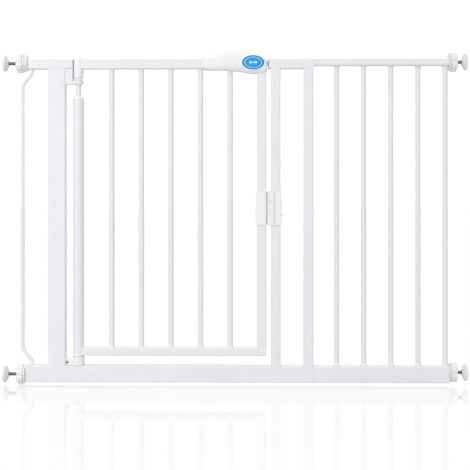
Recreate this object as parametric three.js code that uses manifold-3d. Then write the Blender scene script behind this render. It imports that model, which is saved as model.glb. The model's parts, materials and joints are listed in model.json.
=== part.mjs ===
// Pressure-fit safety gate with a swinging leaf and a five-bar side extension.
// Millimetres. X runs along the doorway, -Y faces the room, +Z is up, and the origin is
// on the floor, midway between the wall pads and on the middle plane of the tubes.
import * as THREE from "three";
import { mergeVertices } from "three/addons/utils/BufferGeometryUtils.js";
import Module from "manifold-3d";

const wasm = await Module();
wasm.setup();

// ---- Driving dimensions ----------------------------------------------------------

const PAD_FACE = 550; // each wall pad's face, from the middle of the doorway
const RAIL_BASE = 6; // underside of the bottom rail, which hangs between the nuts
const RAIL_TOP = 773; // top of every top rail
const TUBE_DEPTH = 25; // frame tubes, front to back
const BASE_HEIGHT = 39; // bottom rails
const RAIL_HEIGHT = 24; // top rails of the main frame
const EXTENSION_RAIL_HEIGHT = 17; // top rail of the extension
const TUBE_WALL = 1.5;
const TUBE_CORNER = 3;
const WELD_GAP = 0.2; // between tubes that butt together
const CLEARANCE = 0.3; // round a plug, bush or sleeve

const FRAME_LEFT = -489.5; // open left end of the top rail
const BASE_LEFT = -496; // open left end of the bottom rail
const FRAME_RIGHT = 187; // where the extension starts
const EXTENSION_RIGHT = 505.5;
const LEFT_POST = { x: -421.7, width: 41.2 };
const LATCH_POST = { x: 98.2, width: 22 };
const OUTER_POST = { x: 175.8, width: 22.4 };

const HINGE_X = -371.5;
const LEAF_DEPTH = 22; // leaf tubes, front to back
const LEAF_BASE = 68.5; // underside of the leaf
const LEAF_RAIL_HEIGHT = 19; // bottom rail of the leaf
const LEAF_STILE = { x: 64.6, width: 22 };
const LEAF_BARS = { count: 5, first: -292, pitch: 70.5, radius: 6.5 };
const EXTENSION_BARS = { count: 5, first: 242.4, pitch: 64.2, radius: 6 };
const BAR_WALL = 1.2;

const HINGE_TUBE = { radius: 13, bore: 11.5, base: 77, top: 676 };
const PIN_RADIUS = 6.5;
const BUSH_RADIUS = 9;
const LUG = { base: 713.5, top: 721.3, radius: 12 };
const HINGE_CAP = { radius: 12, base: 723.1, top: 778 };
const LOWER_HINGE = { radius: 14.5, top: 65.8, linkHalf: 9, linkHeight: 16 };
const KEY = { width: 11, top: 104 }; // square part of the spindle that turns with the leaf
const SPINDLE = { guideRadius: 5, top: 160 }; // round part that guides the closing spring
const SPRING = { radius: 7.6, wire: 0.9, turns: 6, base: 108, top: 152 };
const SCREW = { head: 3.4, height: 2.2, shank: 1.9, length: 8 };

const NUT = { radius: 23, flange: 21, grip: 14, notch: 2.6, lobes: 6 };
const LONG_NUT = 26; // at the top left, with a neck between the grip and the rail
const SHORT_NUT = 18; // at the other corners
const ROD = { radius: 4, length: 112 }; // M8 threaded rod
const PAD = { radius: 19.5, hub: 8.6, length: 12, socket: 7.5 };
const PLUG_FLANGE = 1.6;
const PLUG_DEPTH = 20;

const WIRE = { radius: 4.25, straightX: -505, endX: -482, bend: 37, stub: 3 };
const HANDLE = { left: -75, right: 78.5, halfDepth: 18, slimHalfDepth: 13.2, wall: 2.4 };
const BADGE = { x: 44.5, z: 763, width: 50.6, height: 32, thickness: 2.4, seat: 0.8 };
const THUMB = { left: -24, right: 4, slotHalf: 7, half: 6.4, base: 781, top: 789.9 };
const BOLT = { tip: 80.4, tail: -5, z: 762, height: 10, depth: 7 };
const BOLT_SPRING = { radius: 3.4, wire: 0.5, turns: 7, start: -59.5, length: 44 };
const STRIKE = { face: 81.3, railStart: 85.4, depth: 16, pocketHalf: 5.5, pocketHeight: 14 };
const CATCH = { base: 379, top: 459, left: 77.9, right: 111.2, depth: 30, screws: [23, 52] };
const CATCH_SLEEVE = { width: 25.6, depth: 28, shift: 1.2 };
const MOULDED_CORNER = 2.5;

const BASE_TOP = RAIL_BASE + BASE_HEIGHT;
const RAIL_UNDERSIDE = RAIL_TOP - RAIL_HEIGHT;
const EXTENSION_UNDERSIDE = RAIL_TOP - EXTENSION_RAIL_HEIGHT;

// ---- Finishes --------------------------------------------------------------------

const finish = (color, roughness, metalness = 0) =>
  new THREE.MeshStandardMaterial({ color, roughness, metalness });
const powderCoat = finish(0xf0f0f4, 0.45);
const plastic = finish(0xf3f3f3, 0.35);
const greyPlastic = finish(0xdcdcda, 0.4);
const rubber = finish(0xd0d0ce, 0.7);
const zinc = finish(0x74767a, 0.35, 0.9);
const spring = finish(0x8a8c90, 0.3, 1);
const blue = finish(0x0a8ee0, 0.2);

const gate = new THREE.Group();
const frame = new THREE.Group();
const leaf = new THREE.Group();
gate.add(frame, leaf);

function add(parent, name, geometry, material, x = 0, y = 0, z = 0) {
  const mesh = new THREE.Mesh(geometry, material);
  mesh.name = name;
  mesh.position.set(x, y, z);
  parent.add(mesh);
  return mesh;
}

// ---- Shape helpers ---------------------------------------------------------------

function solid(geometry) {
  const bare = geometry.index ? geometry.toNonIndexed() : geometry.clone();
  bare.deleteAttribute("normal");
  bare.deleteAttribute("uv");
  const merged = mergeVertices(bare, 1e-3);
  const made = new wasm.Manifold(
    new wasm.Mesh({
      numProp: 3,
      vertProperties: new Float32Array(merged.attributes.position.array),
      triVerts: new Uint32Array(merged.index.array),
    }),
  );
  return made;
}

function geometryOf(body) {
  const mesh = body.getMesh();
  const geometry = new THREE.BufferGeometry();
  geometry.setAttribute("position", new THREE.BufferAttribute(mesh.vertProperties, 3));
  geometry.setIndex(new THREE.BufferAttribute(mesh.triVerts, 1));
  const loose = geometry.toNonIndexed();
  loose.computeVertexNormals();
  return loose;
}

const cut = (geometry, ...tools) =>
  geometryOf(tools.reduce((body, tool) => body.subtract(solid(tool)), solid(geometry)));
const join = (geometry, ...others) =>
  geometryOf(others.reduce((body, other) => body.add(solid(other)), solid(geometry)));
const common = (a, b) => geometryOf(solid(a).intersect(solid(b)));

function roundedOutline(width, height, radius) {
  const w = width / 2;
  const h = height / 2;
  const shape = new THREE.Shape();
  shape.moveTo(-w + radius, -h);
  shape.lineTo(w - radius, -h);
  shape.absarc(w - radius, -h + radius, radius, -Math.PI / 2, 0);
  shape.lineTo(w, h - radius);
  shape.absarc(w - radius, h - radius, radius, 0, Math.PI / 2);
  shape.lineTo(-w + radius, h);
  shape.absarc(-w + radius, h - radius, radius, Math.PI / 2, Math.PI);
  shape.lineTo(-w, -h + radius);
  shape.absarc(-w + radius, -h + radius, radius, Math.PI, Math.PI * 1.5);
  return shape;
}

// An outline's x and y become Y and Z along X, X and Z along Y, and X and Y along Z.
const TURNS = {
  X: new THREE.Matrix4().set(0, 0, 1, 0, 1, 0, 0, 0, 0, 1, 0, 0, 0, 0, 0, 1),
  Y: new THREE.Matrix4().set(1, 0, 0, 0, 0, 0, -1, 0, 0, 1, 0, 0, 0, 0, 0, 1),
  Z: new THREE.Matrix4(),
};

function extrude(outline, axis, from, to, settings = {}) {
  const bevel = settings.bevelThickness ?? 0;
  const geometry = new THREE.ExtrudeGeometry(outline, {
    depth: to - from - 2 * bevel,
    bevelEnabled: bevel > 0,
    curveSegments: 2,
    ...settings,
  });
  const start = axis === "Y" ? -to : from;
  return geometry.translate(0, 0, start + bevel).applyMatrix4(TURNS[axis]);
}

const block = (x0, x1, y0, y1, z0, z1) =>
  new THREE.BoxGeometry(x1 - x0, y1 - y0, z1 - z0).translate(
    (x0 + x1) / 2,
    (y0 + y1) / 2,
    (z0 + z1) / 2,
  );

// A round solid along Z from z0 to z1.
const round = (radius, z0, z1, sides = 16) =>
  new THREE.CylinderGeometry(radius, radius, z1 - z0, sides)
    .rotateX(Math.PI / 2)
    .translate(0, 0, (z0 + z1) / 2);

// A turned solid about Z, from [radius, height] points that start and end on the axis
// or close on themselves.
const turned = (points, sides = 20) =>
  new THREE.LatheGeometry(
    points.map(([r, z]) => new THREE.Vector2(r, z)),
    sides,
  ).rotateX(Math.PI / 2);

const alongX = (geometry) => geometry.rotateY(Math.PI / 2);

// A square tube along an axis, centred on it, with both ends open.
function tube(axis, width, height, from, to) {
  const outline = roundedOutline(width, height, TUBE_CORNER);
  const inside = roundedOutline(
    width - 2 * TUBE_WALL,
    height - 2 * TUBE_WALL,
    TUBE_CORNER - TUBE_WALL,
  );
  outline.holes.push(inside);
  return extrude(outline, axis, from, to);
}

// The same tube along X with its right end closed.
function closedTube(width, height, from, to) {
  const inside = extrude(
    roundedOutline(width - 2 * TUBE_WALL, height - 2 * TUBE_WALL, TUBE_CORNER - TUBE_WALL),
    "X",
    from - 5,
    to - TUBE_WALL,
  );
  return cut(extrude(roundedOutline(width, height, TUBE_CORNER), "X", from, to), inside);
}

// ---- Main frame ------------------------------------------------------------------

function buildFrameTubes() {
  const railZ = RAIL_TOP - RAIL_HEIGHT / 2;
  const base = tube("X", TUBE_DEPTH, BASE_HEIGHT, BASE_LEFT, FRAME_RIGHT);
  add(frame, "bottom_rail", base, powderCoat, 0, 0, RAIL_BASE + BASE_HEIGHT / 2);

  const post = (width) =>
    tube("Z", width, TUBE_DEPTH, BASE_TOP + WELD_GAP, RAIL_UNDERSIDE - WELD_GAP);
  add(frame, "left_post", post(LEFT_POST.width), powderCoat, LEFT_POST.x);
  add(frame, "latch_post", post(LATCH_POST.width), powderCoat, LATCH_POST.x);
  add(frame, "outer_post", post(OUTER_POST.width), powderCoat, OUTER_POST.x);

  const stubEnd = HINGE_X - HINGE_CAP.radius - 2 * CLEARANCE;
  const stub = closedTube(TUBE_DEPTH, RAIL_HEIGHT, FRAME_LEFT, stubEnd);
  add(frame, "top_rail_left", stub, powderCoat, 0, 0, railZ);

  const right = closedTube(TUBE_DEPTH, RAIL_HEIGHT, STRIKE.railStart, FRAME_RIGHT);
  add(frame, "top_rail_right", right, powderCoat, 0, 0, railZ);
}

// A round bar, bent away from the hinge side to fill the space by the wall.
function buildWallWire() {
  const { radius, straightX, endX, bend, stub } = WIRE;
  const top = RAIL_UNDERSIDE - WELD_GAP;
  const base = BASE_TOP + WELD_GAP;
  const step = (fromX, fromZ, toX, toZ) => {
    const middle = (fromZ + toZ) / 2;
    return new THREE.CubicBezierCurve3(
      new THREE.Vector3(fromX, 0, fromZ),
      new THREE.Vector3(fromX, 0, middle),
      new THREE.Vector3(toX, 0, middle),
      new THREE.Vector3(toX, 0, toZ),
    );
  };
  const line = (x, fromZ, toZ) =>
    new THREE.LineCurve3(new THREE.Vector3(x, 0, fromZ), new THREE.Vector3(x, 0, toZ));
  const route = new THREE.CurvePath();
  route.add(line(endX, base, base + stub));
  route.add(step(endX, base + stub, straightX, base + stub + bend));
  route.add(line(straightX, base + stub + bend, top - stub - bend));
  route.add(step(straightX, top - stub - bend, endX, top - stub));
  route.add(line(endX, top - stub, top));
  const section = new THREE.Shape().absarc(0, 0, radius, 0, Math.PI * 2);
  const wire = new THREE.ExtrudeGeometry(section, {
    steps: 44,
    curveSegments: 4,
    bevelEnabled: false,
    extrudePath: route,
  });
  add(frame, "wall_wire", wire, powderCoat);
}

// The part of a moulding that fills the inside of a frame tube.
function insertAlongX(height, from, to) {
  const inset = 2 * (TUBE_WALL + CLEARANCE);
  return extrude(roundedOutline(TUBE_DEPTH - inset, height - inset, 1.5), "X", from, to);
}

// A moulded plug that closes a rail's end and guides the threaded rod, facing +X.
function endPlug(height, holeZ) {
  const flange = extrude(
    roundedOutline(TUBE_DEPTH, height, TUBE_CORNER),
    "X",
    WELD_GAP,
    WELD_GAP + PLUG_FLANGE,
  );
  const insert = insertAlongX(height, -PLUG_DEPTH, WELD_GAP + 1);
  const hole = alongX(round(ROD.radius + 0.5, -PLUG_DEPTH - 5, 10)).translate(0, 0, holeZ);
  return cut(join(flange, insert), hole);
}

// ---- Extension panel -------------------------------------------------------------

// An upright bar of round tube.
function barTube(radius, from, to) {
  const bore = radius - BAR_WALL;
  return turned(
    [
      [bore, from],
      [radius, from],
      [radius, to],
      [bore, to],
      [bore, from],
    ],
    16,
  );
}

function buildExtension() {
  const start = FRAME_RIGHT + WELD_GAP;
  const base = tube("X", TUBE_DEPTH, BASE_HEIGHT, start, EXTENSION_RIGHT);
  const baseZ = RAIL_BASE + BASE_HEIGHT / 2;
  add(frame, "extension_bottom_rail", base, powderCoat, 0, 0, baseZ);
  const top = tube("X", TUBE_DEPTH, EXTENSION_RAIL_HEIGHT, start, EXTENSION_RIGHT);
  const topZ = RAIL_TOP - EXTENSION_RAIL_HEIGHT / 2;
  add(frame, "extension_top_rail", top, powderCoat, 0, 0, topZ);
  const { count, first, pitch, radius } = EXTENSION_BARS;
  for (let i = 0; i < count; i += 1) {
    const bar = barTube(radius, BASE_TOP + WELD_GAP, EXTENSION_UNDERSIDE - WELD_GAP);
    add(frame, `extension_bar_${i + 1}`, bar, powderCoat, first + i * pitch);
  }
}

// ---- Hinge side ------------------------------------------------------------------

function buildUpperHinge() {
  const reach = LUG.radius;
  const left = LEFT_POST.x + LEFT_POST.width / 2 + WELD_GAP - HINGE_X;
  const web = -HINGE_CAP.radius - 2 * CLEARANCE; // stops short of the turning cap
  const side = new THREE.Shape();
  side.moveTo(left, LUG.base);
  side.lineTo(reach, LUG.base);
  side.lineTo(reach, LUG.top);
  side.lineTo(web, LUG.top);
  side.lineTo(web, RAIL_UNDERSIDE - WELD_GAP);
  side.lineTo(left, RAIL_UNDERSIDE - WELD_GAP);
  const plan = new THREE.Shape();
  plan.moveTo(left, -reach);
  plan.absarc(0, 0, reach, -Math.PI / 2, Math.PI / 2);
  plan.lineTo(left, reach);
  const bushHole = round(BUSH_RADIUS + CLEARANCE, LUG.base - 5, LUG.top + 5);
  const bracket = common(
    extrude(side, "Y", -reach, reach),
    extrude(plan, "Z", LUG.base - 5, RAIL_TOP, { curveSegments: 10 }),
  );
  add(frame, "upper_hinge_bracket", cut(bracket, bushHole), powderCoat, HINGE_X);

  const bore = PIN_RADIUS + 0.35;
  const flangeTop = LUG.top + CLEARANCE + 1.2;
  const bush = turned([
    [bore, LUG.base - 1],
    [BUSH_RADIUS, LUG.base - 1],
    [BUSH_RADIUS, LUG.top + CLEARANCE],
    [BUSH_RADIUS + 1.6, LUG.top + CLEARANCE],
    [BUSH_RADIUS + 1.6, flangeTop],
    [bore, flangeTop],
    [bore, LUG.base - 1],
  ]);
  add(frame, "upper_hinge_bush", bush, greyPlastic, HINGE_X);
}

// A pan-head screw: its shank runs down -Z and its head starts at Z 0.
function panScrew(length) {
  const { head, height, shank } = SCREW;
  return turned(
    [
      [0, -length],
      [shank, -length],
      [shank, 0],
      [head, 0],
      [head, height * 0.5],
      [head * 0.75, height * 0.9],
      [0, height],
    ],
    12,
  );
}

function buildLowerHinge() {
  const floor = BASE_TOP + WELD_GAP;
  const { radius, top, linkHalf, linkHeight } = LOWER_HINGE;
  const cup = turned([
    [0, floor],
    [radius, floor],
    [radius, top - 1.5],
    [radius - 1.5, top],
    [0, top],
  ]);
  const linkStart = LEFT_POST.x + LEFT_POST.width / 2 + WELD_GAP - HINGE_X;
  const link = block(linkStart, -radius + 3, -linkHalf, linkHalf, floor, floor + linkHeight);
  const bore = round(PIN_RADIUS + 0.35, floor + 2.3, top + 5);
  const screwX = linkStart + 4;
  const screwZ = floor + linkHeight / 2;
  const screwHole = round(SCREW.shank + CLEARANCE, -SCREW.length - 1, 5)
    .rotateX(Math.PI / 2)
    .translate(screwX, -linkHalf, screwZ);
  const body = cut(join(cup, link), bore, screwHole);
  add(frame, "lower_hinge_block", body, plastic, HINGE_X);
  const screw = panScrew(SCREW.length).rotateX(Math.PI / 2);
  add(frame, "lower_hinge_screw", screw, zinc, HINGE_X + screwX, -linkHalf - 0.1, screwZ);

  // The spindle stands in the block and turns with the leaf, which slides up its square.
  const keyBase = top + 2.6;
  const { guideRadius, top: guideTop } = SPINDLE;
  const shaft = turned([
    [0, floor + 2.6],
    [PIN_RADIUS, floor + 2.6],
    [PIN_RADIUS, keyBase + 1],
    [guideRadius, keyBase + 1],
    [guideRadius, guideTop],
    [0, guideTop],
  ]);
  const half = KEY.width / 2;
  const spindle = join(shaft, block(-half, half, -half, half, keyBase, KEY.top));
  add(leaf, "hinge_spindle", spindle, zinc, HINGE_X);
  add(leaf, "closing_spring", coil(SPRING, SPRING.base, SPRING.top), spring, HINGE_X);
}

// A round-wire coil spring about Z.
function coil({ radius, wire, turns }, from, to) {
  const route = new THREE.Curve();
  route.getPoint = (t, target = new THREE.Vector3()) => {
    const angle = t * turns * Math.PI * 2;
    return target.set(
      radius * Math.cos(angle),
      radius * Math.sin(angle),
      from + t * (to - from),
    );
  };
  return new THREE.ExtrudeGeometry(new THREE.Shape().absarc(0, 0, wire, 0, Math.PI * 2), {
    steps: turns * 9,
    curveSegments: 2,
    bevelEnabled: false,
    extrudePath: route,
  });
}

// ---- Leaf ------------------------------------------------------------------------

function buildLeafFrame() {
  const coped = HINGE_X + 4; // the rails' hinge ends wrap round the cap and the tube
  const stileRight = LEAF_STILE.x + LEAF_STILE.width / 2;
  const topTube = tube("X", LEAF_DEPTH, RAIL_HEIGHT, coped, stileRight);
  const capCope = round(HINGE_CAP.radius + CLEARANCE, -40, 40, 40).translate(HINGE_X, 0, 0);
  const stemSlot = block(-26, -3, -4, 4, 0, 20);
  const topRail = cut(topTube, capCope, stemSlot);
  add(leaf, "leaf_top_rail", topRail, powderCoat, 0, 0, RAIL_TOP - RAIL_HEIGHT / 2);

  const lowTube = closedTube(LEAF_DEPTH, LEAF_RAIL_HEIGHT, coped, stileRight);
  const tubeCope = round(HINGE_TUBE.radius + WELD_GAP, -40, 40, 40).translate(HINGE_X, 0, 0);
  const drainHole = round(3.5, 0, 20, 16).translate(-340, 0, 0);
  const lowZ = LEAF_BASE + LEAF_RAIL_HEIGHT / 2;
  const bottomRail = cut(lowTube, tubeCope, drainHole);
  add(leaf, "leaf_bottom_rail", bottomRail, powderCoat, 0, 0, lowZ);

  const low = LEAF_BASE + LEAF_RAIL_HEIGHT + WELD_GAP;
  const high = RAIL_UNDERSIDE - WELD_GAP;
  const stile = tube("Z", LEAF_STILE.width, LEAF_DEPTH, low, high);
  add(leaf, "leaf_latch_stile", stile, powderCoat, LEAF_STILE.x);
  const { count, first, pitch, radius } = LEAF_BARS;
  for (let i = 0; i < count; i += 1)
    add(leaf, `leaf_bar_${i + 1}`, barTube(radius, low, high), powderCoat, first + i * pitch);
}

function buildLeafHinge() {
  const { radius, bore, base, top } = HINGE_TUBE;
  const barrel = turned([
    [bore, base],
    [radius, base],
    [radius, top],
    [bore, top],
    [bore, base],
  ]);
  add(leaf, "hinge_tube", barrel, powderCoat, HINGE_X);

  const pinBore = PIN_RADIUS + CLEARANCE;
  const insert = bore - CLEARANCE;
  const collar = turned([
    [pinBore, top - 22],
    [insert, top - 22],
    [insert, top + WELD_GAP],
    [radius, top + WELD_GAP],
    [radius, top + 2.5],
    [radius - 1.4, top + 5.2],
    [radius - 4.6, top + 7.4],
    [pinBore, top + 7.8],
    [pinBore, top - 22],
  ]);
  add(leaf, "hinge_collar", collar, plastic, HINGE_X);

  const pinTop = HINGE_CAP.top - 12;
  add(leaf, "hinge_pin", round(PIN_RADIUS, top - 20, pinTop), powderCoat, HINGE_X);

  const { radius: capRadius, base: capBase, top: capTop } = HINGE_CAP;
  const cap = turned([
    [pinBore, capBase],
    [capRadius - 3.4, capBase],
    [capRadius, capBase + 7],
    [capRadius, capTop - 6.5],
    [capRadius - 1.6, capTop - 2.8],
    [capRadius - 5, capTop - 0.6],
    [0, capTop],
    [0, pinTop + CLEARANCE],
    [pinBore, pinTop + CLEARANCE],
    [pinBore, capBase],
  ]);
  add(leaf, "hinge_cap", cap, plastic, HINGE_X);

  const foot = LOWER_HINGE.top + 0.5;
  const shell = turned([
    [0, foot],
    [radius - 1.2, foot],
    [radius - 0.2, foot + 1.2],
    [radius - 0.2, base - WELD_GAP],
    [insert, base - WELD_GAP],
    [insert, base + 18],
    [0, base + 18],
  ]);
  const half = KEY.width / 2 + CLEARANCE;
  const key = block(-half, half, -half, half, foot - 5, base + 25);
  const seat = round(PIN_RADIUS + 1.8, foot - 5, LOWER_HINGE.top + 4.4);
  add(leaf, "leaf_foot_plug", cut(shell, key, seat), plastic, HINGE_X);
}

// ---- Handle, latch and catch -----------------------------------------------------

// The handle's outline from the front, drawn in by a margin all round.
function handleFace(margin) {
  const left = HANDLE.left + margin;
  const right = HANDLE.right - margin;
  const high = (points) => points.map(([x, z]) => new THREE.Vector2(x, z - margin));
  const low = (points) => points.map(([x, z]) => new THREE.Vector2(x, z + margin));
  const shape = new THREE.Shape();
  shape.moveTo(left, 746.4 + margin);
  shape.splineThru(
    low([
      [-60, 745.6],
      [-40, 744.8],
      [-8, 744.4],
      [14, 742.2],
      [32, 738],
      [48, 736.6],
      [64, 737.4],
    ]),
  );
  shape.quadraticCurveTo(right, 740 + margin, right, 751);
  shape.lineTo(right, 766);
  shape.quadraticCurveTo(right, 772 - margin, 72, 774.8 - margin);
  shape.splineThru(
    high([
      [64, 778],
      [50, 783.4],
      [34, 787.8],
      [16, 790.4],
      [-2, 790.8],
      [-23, 789.2],
      [-44, 784],
      [-60, 778],
    ]),
  );
  shape.lineTo(left, 775.2 - margin);
  return shape;
}

function handlePlan(margin) {
  const deep = HANDLE.halfDepth - margin;
  const slim = HANDLE.slimHalfDepth - margin / 2;
  const left = HANDLE.left + margin - 1;
  const right = HANDLE.right - margin + 1;
  const shape = new THREE.Shape();
  shape.moveTo(left, -slim);
  shape.bezierCurveTo(-50, -slim, -40, -deep, -10, -deep);
  shape.lineTo(66, -deep);
  shape.quadraticCurveTo(right, -deep, right, -deep + 8);
  shape.lineTo(right, deep - 8);
  shape.quadraticCurveTo(right, deep, 66, deep);
  shape.lineTo(-10, deep);
  shape.bezierCurveTo(-40, deep, -50, slim, left, slim);
  return shape;
}

function handleBody(margin) {
  return common(
    extrude(handleFace(margin), "Y", -30, 30, { curveSegments: 2 }),
    extrude(handlePlan(margin), "Z", 700, 820, { curveSegments: 4 }),
  );
}

function buildHandle() {
  const depth = LEAF_DEPTH / 2 + CLEARANCE;
  const stileLeft = LEAF_STILE.x - LEAF_STILE.width / 2 - CLEARANCE;
  const stileRight = LEAF_STILE.x + LEAF_STILE.width / 2 + CLEARANCE;
  const railSpace = block(
    HANDLE.left - 10,
    stileRight,
    -depth,
    depth,
    RAIL_UNDERSIDE - CLEARANCE,
    RAIL_TOP + CLEARANCE,
  );
  const stileSpace = block(stileLeft, stileRight, -depth, depth, 700, RAIL_TOP);
  const boltHole = block(
    60,
    HANDLE.right + 5,
    -BOLT.depth / 2 - 0.5,
    BOLT.depth / 2 + 0.5,
    BOLT.z - BOLT.height / 2 - 0.5,
    BOLT.z + BOLT.height / 2 + 0.5,
  );
  const { left: slideLeft, right: slideRight, slotHalf } = THUMB;
  const slideSlot = block(slideLeft - 9, slideRight + 0.7, -slotHalf, slotHalf, 780, 800);
  const barSpaces = [3, 4].map((i) =>
    round(LEAF_BARS.radius + CLEARANCE, 700, RAIL_TOP).translate(
      LEAF_BARS.first + i * LEAF_BARS.pitch,
      0,
      0,
    ),
  );
  const shell = cut(
    handleBody(0),
    handleBody(HANDLE.wall),
    railSpace,
    stileSpace,
    boltHole,
    slideSlot,
    ...barSpaces,
  );
  const half = (y0, y1) => common(shell, block(-200, 200, y0, y1, 700, 820));
  const face = -HANDLE.halfDepth;
  const seat = badgeSolid(1, BADGE.seat).translate(BADGE.x, face + BADGE.seat, BADGE.z);
  add(leaf, "handle_front_shell", cut(half(-40, -0.1), seat), plastic);
  add(leaf, "handle_back_shell", half(0.1, 40), plastic);
  const badge = badgeSolid(0.4, BADGE.thickness);
  add(leaf, "handle_badge", badge, blue, BADGE.x, face + 0.5, BADGE.z);
}

// An oval disc whose back is at Y 0.
function badgeSolid(spare, thickness) {
  const oval = new THREE.Shape().absellipse(
    0,
    0,
    BADGE.width / 2 + spare,
    BADGE.height / 2 + spare,
    0,
    Math.PI * 2,
  );
  return extrude(oval, "Y", -thickness, 0, { curveSegments: 6 });
}

function buildLatch() {
  const { tip, tail, z, height, depth } = BOLT;
  const bolt = extrude(roundedOutline(depth, height, 1.5), "X", tail, tip);
  add(leaf, "latch_bolt", bolt, zinc, 0, 0, z);

  const cap = block(THUMB.left, THUMB.right, -THUMB.half, THUMB.half, THUMB.base, THUMB.top);
  const stemBase = z + height / 2 - 9;
  const stem = block(-14, tail - 0.5, -3, 3, stemBase, THUMB.base + 1);
  const grooves = [-20, -15, -10, -5, 0].map((x) =>
    block(x - 0.8, x + 0.8, -8, 8, THUMB.top - 1, THUMB.top + 5),
  );
  add(leaf, "thumb_slide", cut(join(cap, stem), ...grooves), greyPlastic);

  const coilX = alongX(coil(BOLT_SPRING, 0, BOLT_SPRING.length));
  add(leaf, "latch_spring", coilX, spring, BOLT_SPRING.start, 0, z);
}

function buildStrike() {
  const { face, railStart, depth, pocketHalf, pocketHeight } = STRIKE;
  const flange = extrude(
    roundedOutline(TUBE_DEPTH, RAIL_HEIGHT, TUBE_CORNER),
    "X",
    face,
    railStart - WELD_GAP,
  );
  const insert = insertAlongX(RAIL_HEIGHT, railStart - 1, railStart + depth);
  const pocketEnd = railStart + depth - 4;
  const rise = pocketHeight / 2;
  const pocket = block(face - 5, pocketEnd, -pocketHalf, pocketHalf, -rise, rise);
  const plug = cut(join(flange, insert), pocket);
  add(frame, "strike_plug", plug, greyPlastic, 0, 0, RAIL_TOP - RAIL_HEIGHT / 2);
}

// A moulded guide half way up: a sleeve on the leaf and a block on the latch post.
function buildCatch() {
  const { base, top, left, right } = CATCH;
  const ring = (outerX, outerY, innerX, innerY, shift) => {
    const outline = roundedOutline(outerX, outerY, MOULDED_CORNER);
    const hole = roundedOutline(innerX, innerY, MOULDED_CORNER);
    const moved = new THREE.Path(
      hole.getPoints(3).map((p) => new THREE.Vector2(p.x + shift, p.y)),
    );
    outline.holes.push(moved);
    return extrude(outline, "Z", base, top);
  };
  const gap = 2 * CLEARANCE;
  const { width, depth, shift } = CATCH_SLEEVE;
  const sleeve = ring(width, depth, LEAF_STILE.width + gap, LEAF_DEPTH + gap, shift);
  add(leaf, "catch_sleeve", sleeve, plastic, LEAF_STILE.x - shift);

  const middle = (left + right) / 2;
  const post = LATCH_POST.x - middle;
  const body = ring(right - left, CATCH.depth, LATCH_POST.width + gap, TUBE_DEPTH + gap, post);
  const third = (top - base) / 3;
  const grooves = [1, 2].map((i) =>
    block(left - middle - 1, left - middle + 15, -20, -14, base + i * third - 1, base + i * third + 1),
  );
  const screwHeights = CATCH.screws.map((rise) => base + rise);
  const holes = screwHeights.map((z) =>
    alongX(round(SCREW.shank + CLEARANCE, -1.3, 5, 16)).translate(right - middle, 0, z),
  );
  add(frame, "catch_block", cut(body, ...grooves, ...holes), plastic, middle);
  screwHeights.forEach((z, i) => {
    const head = alongX(panScrew(1)); // the shank stops short of the post's wall
    add(frame, `catch_screw_${i + 1}`, head, plastic, right + 0.1, 0, z);
  });
}

// ---- Pressure fixings at the four corners ----------------------------------------

// A hand nut: a six-lobed grip, a ring, and on the long nut a neck with a flange too.
function handNut(length) {
  const { radius, flange, grip, notch, lobes } = NUT;
  const points = [];
  const count = lobes * 6;
  for (let i = 0; i < count; i += 1) {
    const angle = (i / count) * Math.PI * 2;
    const reach = radius - notch * Math.abs(Math.cos((lobes / 2) * angle)) ** 5;
    points.push(new THREE.Vector2(reach * Math.cos(angle), reach * Math.sin(angle)));
  }
  const bevel = 1.8;
  const knob = extrude(new THREE.Shape(points), "X", length - grip, length, {
    bevelThickness: bevel,
    bevelSize: bevel,
    bevelOffset: -bevel,
    bevelSegments: 1,
  });
  const ringTop = length - grip - 1.4;
  const neck = [
    [flange - 3, 0],
    [flange - 2, 1],
    [flange - 2, 3.6],
    [flange - 2.6, 4.4],
    [flange - 2.6, ringTop - 5],
    [flange - 2, ringTop - 4],
    [flange, ringTop - 3.4],
  ];
  const edge = [
    [flange - 0.8, 0],
    [flange, 0.8],
  ];
  const collar = alongX(
    turned(
      [
        [0, 0],
        ...(length === LONG_NUT ? neck : edge),
        [flange, ringTop],
        [flange - 2, ringTop + 0.6],
        [flange - 2, length - grip + 3],
        [0, length - grip + 3],
      ],
      24,
    ),
  );
  const bore = alongX(round(ROD.radius + 0.4, -5, length + 5));
  return cut(join(knob, collar), bore);
}

function wallPad() {
  const { radius, hub, length, socket: depth } = PAD;
  const profile = turned(
    [
      [0, 0],
      [hub, 0],
      [hub + 1.4, 1.6],
      [hub + 5.4, 3.6],
      [radius - 1.6, 5],
      [radius, 7],
      [radius, 10.4],
      [radius - 0.9, length],
      [0, length],
    ],
    24,
  );
  const socket = round(ROD.radius + CLEARANCE, -5, depth + 0.5);
  return alongX(cut(profile, socket));
}

function buildCorner(label, side, railEnd, railHeight, railZ, rodZ, nutLength = SHORT_NUT) {
  const corner = new THREE.Group();
  corner.rotation.z = side > 0 ? 0 : Math.PI;
  frame.add(corner);
  const end = Math.abs(railEnd);
  add(corner, `rail_plug_${label}`, endPlug(railHeight, rodZ - railZ), plastic, end, 0, railZ);
  const nutStart = end + WELD_GAP + PLUG_FLANGE + 0.4;
  add(corner, `nut_${label}`, handNut(nutLength), greyPlastic, nutStart, 0, rodZ);
  const padStart = PAD_FACE - PAD.length;
  const rodEnd = padStart + PAD.socket;
  const rod = alongX(round(ROD.radius, -ROD.length, 0));
  add(corner, `rod_${label}`, rod, zinc, rodEnd, 0, rodZ);
  add(corner, `pad_${label}`, wallPad(), rubber, padStart, 0, rodZ);
}

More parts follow.
